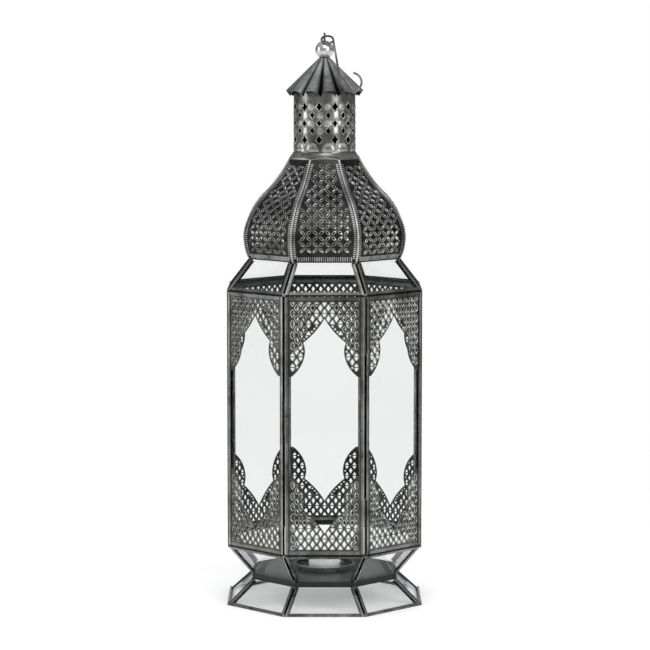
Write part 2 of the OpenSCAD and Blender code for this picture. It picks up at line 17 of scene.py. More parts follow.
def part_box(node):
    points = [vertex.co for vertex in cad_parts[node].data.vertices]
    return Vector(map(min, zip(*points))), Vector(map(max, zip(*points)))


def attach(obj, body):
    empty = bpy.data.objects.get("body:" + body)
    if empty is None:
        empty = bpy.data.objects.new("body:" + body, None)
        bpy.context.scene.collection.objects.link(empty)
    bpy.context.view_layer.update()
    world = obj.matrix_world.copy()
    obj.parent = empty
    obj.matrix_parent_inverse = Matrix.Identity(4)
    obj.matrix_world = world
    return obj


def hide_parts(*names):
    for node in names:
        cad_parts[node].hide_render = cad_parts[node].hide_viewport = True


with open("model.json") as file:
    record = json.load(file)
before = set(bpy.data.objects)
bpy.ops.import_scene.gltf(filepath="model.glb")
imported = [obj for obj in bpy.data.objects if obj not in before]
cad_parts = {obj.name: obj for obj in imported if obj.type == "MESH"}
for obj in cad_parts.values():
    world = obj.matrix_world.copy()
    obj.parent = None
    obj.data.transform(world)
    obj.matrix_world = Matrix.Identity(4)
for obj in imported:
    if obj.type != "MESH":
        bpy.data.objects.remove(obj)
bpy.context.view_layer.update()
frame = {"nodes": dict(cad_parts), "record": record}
rng = np.random.default_rng(7)

MM = 0.001
SIDES = 8
TURN = 2 * math.pi / SIDES
HALF_TAN = math.tan(TURN / 2)


def corner(node):
    """A CAD node's lowest and highest corners in millimetres."""
    low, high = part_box(node)
    return np.array(low) / MM, np.array(high) / MM


def side_body(side):
    return "door" if side == 1 else "lantern"


# Driving sizes, read from the frame
CAGE_Z, RING2_Z = (corner("body_came")[k][2] for k in (0, 1))
CAGE_R = corner("body_came")[1][0]
WAIST_R = corner("floor_tray")[1][0]
TRAY_LOW, TRAY_Z = (corner("floor_tray")[k][2] for k in (0, 1))
FOOT_R = corner("base_came")[1][0]
SHOULDER_TOP = corner("shoulder_came")[1][2]
DOME_Z, DOME_TOP = (corner("dome_gore_1")[k][2] for k in (0, 1))
BELLY_R = corner("dome_gore_3")[1][0]
NECK_R = corner("neck_tube")[1][0]
NECK_Z, NECK_TOP = (corner("neck_tube")[k][2] for k in (0, 1))
COLLAR_Z, COLLAR_TOP = (corner("neck_collar")[k][2] for k in (0, 1))
CAP_TOP = corner("cap")[1][2]
BALL_LOW, BALL_TOP = (corner("finial_ball")[k][2] for k in (0, 1))
DISH_R = corner("candle_dish")[1][0]
DISH_TOP = corner("candle_dish")[1][2]
TEALIGHT_R = corner("tealight_cup")[1][0]
TEALIGHT_LOW, TEALIGHT_TOP = (corner("tealight_cup")[k][2] for k in (0, 1))

# Sizes of the frame that no node's box gives
SHOULDER_R = 88.0
CAP_H = 38.0
CAP_TURN = 8  # degrees from the front to the nearest ridge
CAME_W = 4.6
CAME_T = 3.2
CAME_WALL = 0.3
GLASS_T = 2.0
FRET_T = 0.5
DISH_T = 0.8
JOINT = 0.05  # the gap left at a soldered joint


# ---- Materials ----
# Painted shade and a painted highlight on the folded strips: slopes in metres from a corner or from a level
# seam
GROOVE = (0.00118, 0.00155)
FOLD = ((0.0015, 0.0019), (0.0025, 0.0031))
STRIP_EDGE = ((0.0046, 0.0051), (0.0058, 0.0062))
SEAM = (0.001, 0.0016)


def darker(colour, share):
    return tuple(share * c for c in colour)


class Shader:
    """A material's node tree with short calls for the nodes used here."""

    def __init__(self, name):
        self.material = bpy.data.materials.new(name)
        self.material.use_nodes = True
        self.tree = self.material.node_tree
        self.tree.nodes.clear()
        self.out = self.tree.nodes.new("ShaderNodeOutputMaterial")
        self.coords = self.node("TexCoord").outputs["Object"]

    def node(self, kind, **inputs):
        made = self.tree.nodes.new("ShaderNode" + kind)
        for key, value in inputs.items():
            self.put(made.inputs[key.replace("_", " ")], value)
        return made

    def put(self, socket, value):
        if isinstance(value, bpy.types.NodeSocket):
            self.tree.links.new(value, socket)
        else:
            socket.default_value = value

    def noise(self, scale, detail=4, rough=0.55, stretch=(1, 1, 1)):
        """Noise from 0 to 1; scale is in repeats per metre."""
        place = self.node("Mapping", Vector=self.coords, Scale=stretch)
        made = self.node("TexNoise", Vector=place.outputs[0], Scale=scale, Detail=detail, Roughness=rough)
        return made.outputs["Fac"]

    def ramp(self, fac, low, high, at=(0.35, 0.65)):
        made = self.node("ValToRGB", Fac=fac)
        made.color_ramp.elements[0].position = at[0]
        made.color_ramp.elements[1].position = at[1]
        made.color_ramp.elements[0].color = (*low, 1)
        made.color_ramp.elements[1].color = (*high, 1)
        return made.outputs["Color"]

    def spread(self, fac, low, high, at=(0.3, 0.7)):
        made = self.node("MapRange", Value=fac)
        for key, value in zip(("From Min", "From Max", "To Min", "To Max"), (*at, low, high)):
            made.inputs[key].default_value = value
        return made.outputs["Result"]

    def mix(self, fac, first, second):
        made = self.tree.nodes.new("ShaderNodeMix")
        made.data_type = "RGBA"
        self.put(made.inputs[0], fac)
        for socket, value in ((made.inputs[6], first), (made.inputs[7], second)):
            self.put(socket, (*value, 1) if isinstance(value, tuple) else value)
        return made.outputs[2]

    def band(self, value, slopes, most):
        """most between two slopes, 0 outside them."""
        return self.times(self.spread(value, 0, most, at=slopes[0]), self.spread(value, 1, 0, at=slopes[1]))

    def times(self, value, factor):
        return self.maths("MULTIPLY", value, factor)

    def maths(self, operation, first, second=0.0):
        made = self.tree.nodes.new("ShaderNodeMath")
        made.operation = operation
        self.put(made.inputs[0], first)
        self.put(made.inputs[1], second)
        return made.outputs[0]

    def corner_distance(self):
        """Metres from the nearest of the eight upright planes through the corners."""
        place = self.node("SeparateXYZ", Vector=self.coords)
        x, y = place.outputs["X"], place.outputs["Y"]
        turn = self.maths("DIVIDE", self.maths("ARCTAN2", y, x), TURN)
        off = self.times(self.maths("SUBTRACT", self.maths("FRACT", turn), 0.5), TURN)
        radius = self.maths("SQRT", self.maths("ADD", self.times(x, x), self.times(y, y)))
        return self.times(radius, self.maths("ABSOLUTE", self.maths("SINE", off)))

    def near_level(self, z):
        """1 close to a level seam, 0 away from it."""
        height = self.node("SeparateXYZ", Vector=self.coords).outputs["Z"]
        off = self.maths("ABSOLUTE", self.maths("SUBTRACT", height, z))
        return self.spread(off, 0.95, 0, at=SEAM)

    def attribute(self, name):
        made = self.node("Attribute")
        made.attribute_name = name
        return made.outputs["Fac"]

    def bump(self, height, strength, distance):
        made = self.node("Bump", Height=height, Strength=strength, Distance=distance)
        return made.outputs["Normal"]

    def finish(self, shader):
        self.tree.links.new(shader, self.out.inputs["Surface"])
        return self.material


def metal(name, dark, light, bright, tint, rough=(0.32, 0.55), blotch=38, grain=1400, dent=0.00012,
          metallic=1.0, seams=False):
    """Antiqued sheet: dark patina and painted shade in the hollows, rubbed wear and a painted highlight on
    raised lines.

    seams also paints shade in the corner grooves, the strips' inner edges and the level seams, and a
    highlight on the folds.
    """
    s = Shader(name)
    patches = s.noise(blotch, detail=7, rough=0.62)
    base = s.ramp(patches, dark, light)
    warm = s.spread(s.noise(blotch * 0.45, detail=3), 0, 0.55, at=(0.45, 0.68))
    base = s.mix(warm, base, tint)
    streaks = s.noise(blotch * 5, detail=5, stretch=(1, 1, 0.25))
    base = s.mix(s.spread(streaks, 0, 0.35, at=(0.5, 0.75)), base, darker(dark, 0.45))
    # patina and painted shade in the hollows and on the backs of sheets
    base = s.mix(s.attribute("patina_and_shade"), base, darker(dark, 0.12))
    if seams:
        # painted shade in the corner grooves, along the strips' inner edges and at level seams; painted
        # highlight on the folds
        off = s.corner_distance()
        groove = s.spread(off, 0.97, 0, at=GROOVE)
        edge = s.band(off, STRIP_EDGE, 0.8)
        fold = s.band(off, FOLD, 0.5)
        base = s.mix(s.times(fold, s.spread(patches, 0.35, 1)), base, bright)
        base = s.mix(groove, base, darker(dark, 0.1))
        base = s.mix(edge, base, darker(dark, 0.3))
        for level in (TRAY_Z, CAGE_Z - 0.5, RING2_Z + 0.5, SHOULDER_TOP):
            base = s.mix(s.near_level(level * MM), base, darker(dark, 0.1))
    # raised metal brightens: rubbed wear and painted highlight
    rubbed_and_lit = s.times(s.attribute("lift"), s.spread(patches, 0.35, 0.95))
    base = s.mix(rubbed_and_lit, base, bright)
    fine = s.noise(grain, detail=3)
    surface = s.node(
        "BsdfPrincipled",
        Base_Color=base,
        Roughness=s.spread(s.noise(blotch * 3, detail=6), rough[0], rough[1]),
        Normal=s.bump(s.mix(0.35, fine, streaks), 0.5, dent),
    )
    surface.inputs["Metallic"].default_value = metallic
    return s.finish(surface.outputs[0])


def glass(name):
    """Thin clear pane: lets light straight through and reflects more at a slant."""
    s = Shader(name)
    smear = s.noise(22, detail=5, rough=0.6)
    clear = s.node("BsdfTransparent", Color=s.ramp(smear, (0.961, 0.966, 0.965), (0.969, 0.972, 0.971)))
    shine = s.node("BsdfGlossy", Color=(0.95, 0.98, 1, 1), Roughness=s.spread(smear, 0.03, 0.07))
    slant = s.node("LayerWeight", Blend=0.5).outputs["Facing"]
    slant = s.times(s.times(slant, slant), s.times(slant, slant))
    mixed = s.node("MixShader", Fac=s.spread(slant, 0.004, 0.7, at=(0, 1)))
    s.put(mixed.inputs[1], clear.outputs[0])
    s.put(mixed.inputs[2], shine.outputs[0])
    return s.finish(mixed.outputs[0])


def wax():
    s = Shader("wax")
    cloud = s.noise(60, detail=4)
    surface = s.node(
        "BsdfPrincipled",
        Base_Color=s.ramp(cloud, (0.78, 0.77, 0.73), (0.9, 0.9, 0.88)),
        Roughness=s.spread(cloud, 0.35, 0.5),
        Normal=s.bump(s.noise(220), 0.2, 0.0003),
    )
    surface.inputs["Subsurface Weight"].default_value = 0.25
    surface.inputs["Subsurface Radius"].default_value = (0.004, 0.003, 0.002)
    return s.finish(surface.outputs[0])


def wick_cotton():
    s = Shader("wick_cotton")
    strands = s.noise(1800, detail=2, stretch=(1, 1, 0.2))
    surface = s.node(
        "BsdfPrincipled",
        Base_Color=s.ramp(strands, (0.45, 0.42, 0.36), (0.85, 0.82, 0.74)),
        Roughness=s.spread(strands, 0.75, 0.95),
        Normal=s.bump(strands, 0.8, 0.0002),
    )
    return s.finish(surface.outputs[0])


def floor_paint():
    s = Shader("floor_paint")
    speck = s.noise(8, detail=3)
    surface = s.node(
        "BsdfPrincipled",
        Base_Color=s.ramp(speck, (0.93, 0.93, 0.93), (0.95, 0.95, 0.95)),
        Roughness=s.spread(speck, 0.55, 0.65),
    )
    return s.finish(surface.outputs[0])


MATERIALS = {
    "came": metal(
        "came", (0.08, 0.083, 0.08), (0.3, 0.31, 0.3), (0.72, 0.72, 0.69), (0.17, 0.16, 0.125), grain=900,
        rough=(0.2, 0.4), seams=True,
    ),
    "pierced_panel": metal(
        "pierced_panel", (0.07, 0.074, 0.068), (0.28, 0.29, 0.27), (0.9, 0.91, 0.88), (0.17, 0.16, 0.11),
        rough=(0.26, 0.42),
    ),
    "dome_sheet": metal(
        "dome_sheet", (0.028, 0.03, 0.028), (0.13, 0.134, 0.128), (0.95, 0.96, 0.93), (0.08, 0.072, 0.055),
        rough=(0.28, 0.44),
    ),
    "dome_trim": metal(
        "dome_trim", (0.13, 0.132, 0.13), (0.38, 0.38, 0.37), (0.6, 0.6, 0.6), (0.22, 0.21, 0.18),
        rough=(0.26, 0.45),
    ),
    "neck_sheet": metal(
        "neck_sheet", (0.15, 0.155, 0.145), (0.52, 0.525, 0.5), (0.9, 0.9, 0.87), (0.34, 0.31, 0.23),
        rough=(0.22, 0.38),
    ),
    "cap_sheet": metal(
        "cap_sheet", (0.045, 0.05, 0.047), (0.26, 0.28, 0.27), (0.8, 0.81, 0.8), (0.13, 0.12, 0.1),
        rough=(0.26, 0.45),
    ),
    "polished_ball": metal(
        "polished_ball", (0.55, 0.55, 0.54), (0.74, 0.74, 0.73), (0.8, 0.8, 0.8), (0.6, 0.58, 0.55),
        rough=(0.27, 0.34), dent=0.000002,
    ),
    "wire": metal("wire", (0.08, 0.08, 0.078), (0.26, 0.26, 0.25), (0.5, 0.5, 0.5), (0.13, 0.12, 0.11)),
    "tray_sheet": metal(
        "tray_sheet", (0.2, 0.235, 0.215), (0.34, 0.385, 0.355), (0.85, 0.86, 0.85), (0.22, 0.235, 0.19),
        rough=(0.3, 0.45),
    ),
    "dish_sheet": metal(
        "dish_sheet", (0.16, 0.19, 0.17), (0.3, 0.33, 0.31), (0.85, 0.88, 0.85), (0.2, 0.22, 0.19),
        rough=(0.25, 0.4),
    ),
    "tealight_cup": metal(
        "tealight_cup", (0.66, 0.7, 0.66), (0.84, 0.88, 0.84), (0.9, 0.9, 0.9), (0.76, 0.79, 0.74),
        rough=(0.4, 0.55), metallic=0.15,
    ),
    "solder": metal(
        "solder", (0.1, 0.1, 0.1), (0.34, 0.34, 0.33), (0.6, 0.6, 0.6), (0.2, 0.19, 0.17), rough=(0.3, 0.5)
    ),
    "patina": metal(
        "patina", (0.012, 0.013, 0.013), (0.04, 0.042, 0.04), (0.1, 0.1, 0.1), (0.03, 0.028, 0.022),
        rough=(0.4, 0.6),
    ),
    "window_glass": glass("window_glass"),
    "wax": wax(),
}


# ---- Mesh helpers ----
def turned(points, side):
    """Points of side 1 in millimetres, carried round to another side."""
    a = TURN * (side - 1)
    x, y = points[:, 0], points[:, 1]
    return np.stack([x * math.cos(a) - y * math.sin(a), x * math.sin(a) + y * math.cos(a), points[:, 2]], 1)


def make(name, points, faces, body, slot, replaces=(), sharp=35, lift=None, patina_and_shade=None, material=None):
    """A finished piece from points in millimetres."""
    mesh = bpy.data.meshes.new(name)
    mesh.from_pydata((np.asarray(points) * MM).tolist(), [], [tuple(int(k) for k in f) for f in faces])
    mesh.validate()
    mesh.update()
    for key, values in (("lift", lift), ("patina_and_shade", patina_and_shade)):
        if values is not None:
            held = mesh.attributes.new(key, "FLOAT", "POINT")
            held.data.foreach_set("value", np.asarray(values, dtype=np.float32))
    mesh.shade_smooth()
    mesh.set_sharp_from_angle(angle=math.radians(sharp))
    piece = bpy.data.objects.new(name, mesh)
    bpy.context.scene.collection.objects.link(piece)
    mesh.materials.append(material or MATERIALS[slot])
    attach(piece, body)
    if replaces:
        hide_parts(*replaces)
    return piece


def flipped(faces):
    return [tuple(reversed(f)) for f in faces]


def ring_faces(rows, count, first=0):
    """Quads that join rows of count points into a tube."""
    return [
        (
            first + r * count + k,
            first + r * count + (k + 1) % count,
            first + (r + 1) * count + (k + 1) % count,
            first + (r + 1) * count + k,
        )
        for r in range(rows - 1)
        for k in range(count)
    ]


def closed_rings(rows, count):
    """The same with a face over each end."""
    last = (rows - 1) * count
    ends = [tuple(reversed(range(count))), tuple(last + k for k in range(count))]
    return ring_faces(rows, count) + ends


def lathe(profile, segments):
    """Turns a closed profile of [radius, height] about the axis. It runs anticlockwise."""
    angles = np.linspace(0, 2 * math.pi, segments, endpoint=False)
    points = [[r * math.cos(a), r * math.sin(a), z] for a in angles for r, z in profile]
    n = len(profile)
    faces = [
        (
            s * n + k,
            ((s + 1) % segments) * n + k,
            ((s + 1) % segments) * n + (k + 1) % n,
            s * n + (k + 1) % n,
        )
        for s in range(segments)
        for k in range(n)
    ]
    return np.array(points), faces


def tube(path, radii, sides=16):
    """A round bar along a path, with its ends closed. radii has one value per point."""
    path = np.asarray(path, float)
    tangents = np.gradient(path, axis=0)
    tangents /= np.linalg.norm(tangents, axis=1)[:, None]
    up = np.array([0.31, 0.2, 0.93])  # along none of the wires
    points = []
    for p, t, r in zip(path, tangents, radii):
        up = up - t * (up @ t)
        up /= np.linalg.norm(up)
        across = np.cross(t, up)
        for k in range(sides):
            a = 2 * math.pi * k / sides
            points.append(p + r * (math.cos(a) * across + math.sin(a) * up))
    return np.array(points), flipped(closed_rings(len(path), sides))


def wire_piece(name, path, radius, body, slot, replaces=()):
    """A wire with softly rounded ends."""
    path = np.asarray(path, float)
    start, end = path[0] - path[1], path[-1] - path[-2]
    start /= np.linalg.norm(start)
    end /= np.linalg.norm(end)
    path = np.vstack([path[0] + start * radius * 0.3, path, path[-1] + end * radius * 0.3])
    radii = np.full(len(path), radius)
    radii[[0, -1]] = radius * 0.6
    points, faces = tube(path, radii)
    return make(name, points, faces, body, slot, replaces, sharp=50)


def bezier(points, count):
    """count points on the Bezier curve with those control points, ends included."""
    n = len(points) - 1
    u = np.linspace(0, 1, count)[:, None]
    return sum(math.comb(n, k) * u**k * (1 - u) ** (n - k) * np.array(p, float) for k, p in enumerate(points))


# ---- Pierced and stamped sheet ----
def soft_polygon(points, radius, steps=3):
    """The polygon with its corners rounded, anticlockwise."""
    out = []
    count = len(points)
    for k in range(count):
        before, here, after = (np.array(points[(k + d) % count], float) for d in (-1, 0, 1))
        a = here + (before - here) / np.linalg.norm(before - here) * radius
        b = here + (after - here) / np.linalg.norm(after - here) * radius
        out.extend(bezier([a, here, b], steps))
    return np.array(out)


def grown(loop, distance):
    """A loop moved outwards along its own normals."""
    ahead = np.roll(loop, -1, 0) - np.roll(loop, 1, 0)
    ahead /= np.maximum(np.linalg.norm(ahead, axis=1)[:, None], 1e-9)
    return loop + distance * np.stack([ahead[:, 1], -ahead[:, 0]], 1)


def inside(points, loop):
    """Which points lie inside a loop."""
    x, y = points[:, 0], points[:, 1]
    hits = np.zeros(len(points), bool)
    for (x0, y0), (x1, y1) in zip(loop, np.roll(loop, -1, 0)):
        if y0 != y1:
            hits ^= ((y0 > y) != (y1 > y)) & (x < (x1 - x0) * (y - y0) / (y1 - y0) + x0)
    return hits


class Sheet:
    """A flat pattern in millimetres: an outline, holes and raised marks."""

    EDGE = 0.35  # a hole's edge stands this far up its crest
    CLEAR_RISE = 0.35  # metal raised by this is free of patina and painted shade
    WEAR_AND_SHINE = 1.8  # how fast raised metal brightens, by rubbed wear and a painted highlight, for each millimetre

    def __init__(self, outline, under):
        """under is how dark the back is painted, as painted shade: 1 is as dark as the hollows in front."""
        self.points, self.lifts, self.edges, self.holes, self.under = [], [], [], [], under
        self.outline = np.array(outline)
        self.loop(outline, 0)

    def loop(self, points, lift):
        first, count = len(self.points), len(points)
        self.points.extend(np.asarray(points).tolist())
        self.lifts.extend([lift] * count)
        self.edges.extend((first + k, first + (k + 1) % count) for k in range(count))

    def hole(self, loop, crest, crest_at, foot_at):
        """A hole whose rim is pushed up by crest; the last two are distances from its edge."""
        self.holes.append(loop)
        self.loop(loop, crest * self.EDGE)
        self.loop(grown(loop, crest_at), crest)
        self.loop(grown(loop, foot_at), 0)

    def boss(self, loop, lift, slope=0.35):
        """A raised mark that stays solid."""
        self.loop(grown(loop, slope), 0)
        self.loop(loop, lift)

    def solid(self, spacing, thickness, place):
        """(points, faces, lift, and the darkening for patina and painted shade) of the sheet. place(u, v, h)
        gives points in space.
        """
        low, high = self.outline.min(0), self.outline.max(0)
        near = kdtree.KDTree(len(self.points))
        for k, p in enumerate(self.points):
            near.insert((*p, 0), k)
        near.balance()
        lines = [np.linspace(low[k], high[k], max(2, int((high[k] - low[k]) / spacing) + 1)) for k in (0, 1)]
        fill = np.array([(u, v) for u in lines[0][1:-1] for v in lines[1][1:-1]])
        fill = fill[inside(fill, self.outline)]
        # points inside the sheet keep its curve; none comes close to a drawn line
        fill = [p for p in fill if near.find((*p, 0))[2] > 0.45 * spacing]
        flat = [Vector(p) for p in self.points] + [Vector(p) for p in fill]
        lifts = self.lifts + [0] * len(fill)
        verts, _, faces, origins, _, _ = delaunay_2d_cdt(flat, self.edges, [], 0, 1e-4)
        uv = np.array([tuple(v) for v in verts])
        lift = np.array([max((lifts[k] for k in o), default=0.0) for o in origins])
        tris = np.array(faces)
        middle = uv[tris].mean(1)
        keep = inside(middle, self.outline)
        for loop in self.holes:
            box = np.all((middle > loop.min(0)) & (middle < loop.max(0)), axis=1) & keep
            box[box] = inside(middle[box], loop)
            keep &= ~box
        tris = tris[keep]
        span = uv[tris]
        a, b = span[:, 1] - span[:, 0], span[:, 2] - span[:, 0]
        flip = a[:, 0] * b[:, 1] - a[:, 1] * b[:, 0] < 0
        tris[flip] = tris[flip][:, ::-1]
        used, tris = np.unique(tris, return_inverse=True)
        tris = tris.reshape(-1, 3)
        uv, lift = uv[used], lift[used]
        n = len(uv)
        edges = np.concatenate([tris[:, [0, 1]], tris[:, [1, 2]], tris[:, [2, 0]]])
        key = edges.min(1) * n + edges.max(1)
        _, first, counts = np.unique(key, return_index=True, return_counts=True)
        rim = edges[first[counts == 1]]
        top = place(uv[:, 0], uv[:, 1], lift)
        under = place(uv[:, 0], uv[:, 1], lift - thickness)
        walls = [(int(i), int(i) + n, int(j) + n, int(j)) for i, j in rim]
        faces = tris.tolist() + (tris[:, ::-1] + n).tolist() + walls
        # unraised front metal gets patina and painted shade; the back gets painted shade
        patina_and_shade = np.concatenate([1 - np.clip(lift / self.CLEAR_RISE, 0, 1), np.full(n, self.under)])
        return np.vstack([top, under]), faces, np.concatenate([lift * self.WEAR_AND_SHINE, 0 * lift]), patina_and_shade


def sheet_piece(name, solid, side, body, slot, replaces, darkening):
    points, faces, lift, patina_and_shade = solid
    # the last argument scales the patina and painted shade
    make(
        name, turned(points, side), faces, body, slot, replaces, lift=np.clip(lift, 0, 1), patina_and_shade=patina_and_shade * darkening
    )


# ---- Window panels ----
# The opening's half edge runs from its point over a bulge to the cusp, then round a lobe to its tip
POINT_Y = 24.8
BULGE = (9, 40.5)
CUSP = (24.8, 52.8)
LOBE = ((19.5, 65), (25, 82))
TIP = (38.9, 92.6)
FRET_HALF = (CAGE_R - CAME_T) * HALF_TAN - 2 * CAME_WALL - JOINT
BAND = 12.6
FIRST_BAND = BAND / 2 + 5.9
PITCH = 9.3
DIAMOND = (2.1, 3.55)
WEDGE = (2.3, 1.9, 5.7)  # half width, then how near and how far from the crossing
WEB = 1.7  # metal left along the opening
DOT_R = 0.95
DOT_IN = 2.9  # from the opening to the middle of a dot
DOT_CLEAR = 2.3  # from there to the next hole
DOT_STEP = 1.1  # how closely places for dots are tried
SIDE_EDGE = CAGE_R * HALF_TAN - CAME_W - 1.6  # where the holes end at the sides
DOOR_GAP = 0.4
DOOR_TRIM = 0.9905  # the door's frets are narrower by this


def opening_edge():
    """Points are [from the middle, depth from the level edge]."""
    first = bezier([(0, POINT_Y), BULGE, CUSP], 12)
    lobe = bezier([CUSP, *LOBE, TIP], 16)
    return np.vstack([first, lobe[1:]])


OPENING = opening_edge()


def lattice(centre):
    """A diamond, with the triangles of the next crossing over and under it."""
    wide, tall = DIAMOND
    diamond = [(-wide, 0), (0, -tall), (wide, 0), (0, tall)]
    reach, near, far = WEDGE
    x = PITCH / 2
    over = [(x - reach, far), (x, near), (x + reach, far)]
    under = [(u, -v) for u, v in reversed(over)]
    for shape in (diamond, over, under):
        yield soft_polygon(shape, 0.55) + np.array(centre)


def fret_sheet():
    low = OPENING[-1][1]
    edge = np.vstack([OPENING[::-1], OPENING[1:] * [-1, 1]])
    outline = np.vstack([[(-FRET_HALF, 0), (FRET_HALF, 0), (FRET_HALF, low)], edge, [(-FRET_HALF, low)]])
    opening = np.vstack([edge, [(-FRET_HALF, low + 50), (FRET_HALF, low + 50)]])
    sheet = Sheet(outline, 0.9)
    room = grown(opening, -WEB)
    spots = [((k + 0.5) * PITCH, FIRST_BAND + BAND * row) for row in range(7) for k in range(-6, 6)]
    used = []
    for spot in spots:
        for loop in lattice(spot):
            clear = not inside(loop, room).any() and loop[:, 1].max() < low - 5
            if clear and np.abs(loop[:, 0]).max() < SIDE_EDGE:
                sheet.hole(loop, crest=0.42, crest_at=0.5, foot_at=1.05)
                used.append(loop)
    # small round holes fill what the lattice leaves along the opening
    run = np.concatenate([[0], np.cumsum(np.linalg.norm(np.diff(edge, axis=0), axis=1))])
    rim = grown(np.vstack([edge, edge[::-1]]), -DOT_IN)[: len(edge)]
    for t in np.arange(5, run[-1] - 5, DOT_STEP):
        spot = np.array([np.interp(t, run, rim[:, k]) for k in (0, 1)])
        gap = min(np.linalg.norm(loop - spot, axis=1).min() for loop in used)
        free = gap > DOT_CLEAR and not any(inside(spot[None], h)[0] for h in used)
        if free and abs(spot[0]) < SIDE_EDGE - 0.8:
            dot = disc(spot, DOT_R, 8)
            sheet.hole(dot, crest=0.3, crest_at=0.4, foot_at=0.7)
            used.append(dot)
    return sheet


def build_frets():
    # the sheet lies between the glass and the strip's front lip
    front = CAGE_R - CAME_T + CAME_WALL + GLASS_T + JOINT + FRET_T

    def upper(u, v, h):
        return np.stack([u, -(front + h), RING2_Z - 2 * CAME_WALL - v], 1)

    points, faces, lift, patina_and_shade = fret_sheet().solid(3.2, FRET_T, upper)
    mirrored = points * [1, 1, -1] + [0, 0, RING2_Z + CAGE_Z]
    levels = (("upper", points, flipped(faces), -DOOR_GAP), ("lower", mirrored, faces, DOOR_GAP))
    for side in range(1, SIDES + 1):
        for level, placed, turned_faces, gap in levels:
            node = f"door_{level}_fret" if side == 1 else f"{level}_fret_{side}"
            if side == 1:
                placed = placed * [DOOR_TRIM, 1, 1] + [0, 0, gap]
            solid = (placed, turned_faces, lift, patina_and_shade)
            sheet_piece(
                f"pierced_{level}_{side}", solid, side, side_body(side), "pierced_panel", [node], 0.55
            )


# ---- Dome ----
def dome_section(count):
    """The dome's half section by the same curves as the frame: [centre to flat, height]."""
    belly_r, height = BELLY_R, DOME_TOP - DOME_Z
    foot = np.array([SHOULDER_R + 0.5, 0])
    belly = np.array([belly_r, height * 0.23])
    turn = np.array([belly_r * 0.75, height * 0.64])
    top = np.array([NECK_R + 4.5, height])
    flank = (turn - np.array([belly_r + 0.5, height * 0.45])) / 2
    # pulls at the curves' ends
    foot_pull, belly_pull, belly_lift, top_pull = [4, 7], [0, 10], [0, 15], [5, -10]
    low = bezier([foot, foot + foot_pull, belly - belly_pull, belly], count)
    mid = bezier([belly, belly + belly_lift, turn - flank, turn], count)
    high = bezier([turn, turn + flank, top + top_pull, top], count)
    line = np.vstack([low, mid[1:], high[1:]])
    line[:, 1] += DOME_Z
    return line


SECTION = dome_section(24)
ARC = np.concatenate([[0], np.cumsum(np.linalg.norm(np.diff(SECTION, axis=0), axis=1))])
DOME_ARC = ARC[-1]


def section_at(s):
    """(centre to flat, height, outward r, outward z) at arc length s."""
    r = np.interp(s, ARC, SECTION[:, 0])
    z = np.interp(s, ARC, SECTION[:, 1])
    slope = np.gradient(SECTION, axis=0)
    slope /= np.linalg.norm(slope, axis=1)[:, None]
    out_r = np.interp(s, ARC, slope[:, 1])
    out_z = -np.interp(s, ARC, slope[:, 0])
    return r, z, out_r, out_z


def on_dome(u, s, h):
    r, z, out_r, out_z = section_at(s)
    return np.stack([u, -(r + h * out_r), z + h * out_z], 1)


def leaf(centre, angle, length, width, count=6):
    """A leaf outline between two points, anticlockwise."""
    half = length / 2
    right = bezier([(-half, 0), (0, -width), (half, 0)], count)
    left = bezier([(half, 0), (0, width), (-half, 0)], count)
    loop = np.vstack([right[:-1], left[:-1]])
    c, s = math.cos(angle), math.sin(angle)
    return loop @ np.array([[c, s], [-s, c]]) + np.array(centre)


def disc(centre, radius, count=10):
    a = np.linspace(0, 2 * math.pi, count, endpoint=False)
    return np.stack([centre[0] + radius * np.cos(a), centre[1] + radius * np.sin(a)], 1)


def stroke(start, end, width):
    """A short bar outline, anticlockwise."""
    start, end = np.array(start, float), np.array(end, float)
    along = (end - start) / np.linalg.norm(end - start)
    across = np.array([along[1], -along[0]]) * width / 2
    return np.array([start + across, end + across, end - across, start - across])


# The gores' pattern: cells across and up, the lowest row, and the metal left at the sides
CELL_U, CELL_S = 7.3, 6.9
PATTERN_FOOT = 8.6
LEAF = (6.8, 2.0)
LEAF_MARGIN, DOT_MARGIN = 4.0, 4.8
SHORTEST = 0.72  # a leaf at the side is shortened to no less than this share
RIB_HALF, RIB_RISE = 1.45, 1.0
TICK_PITCH, TICK_W = 2.5, 0.9


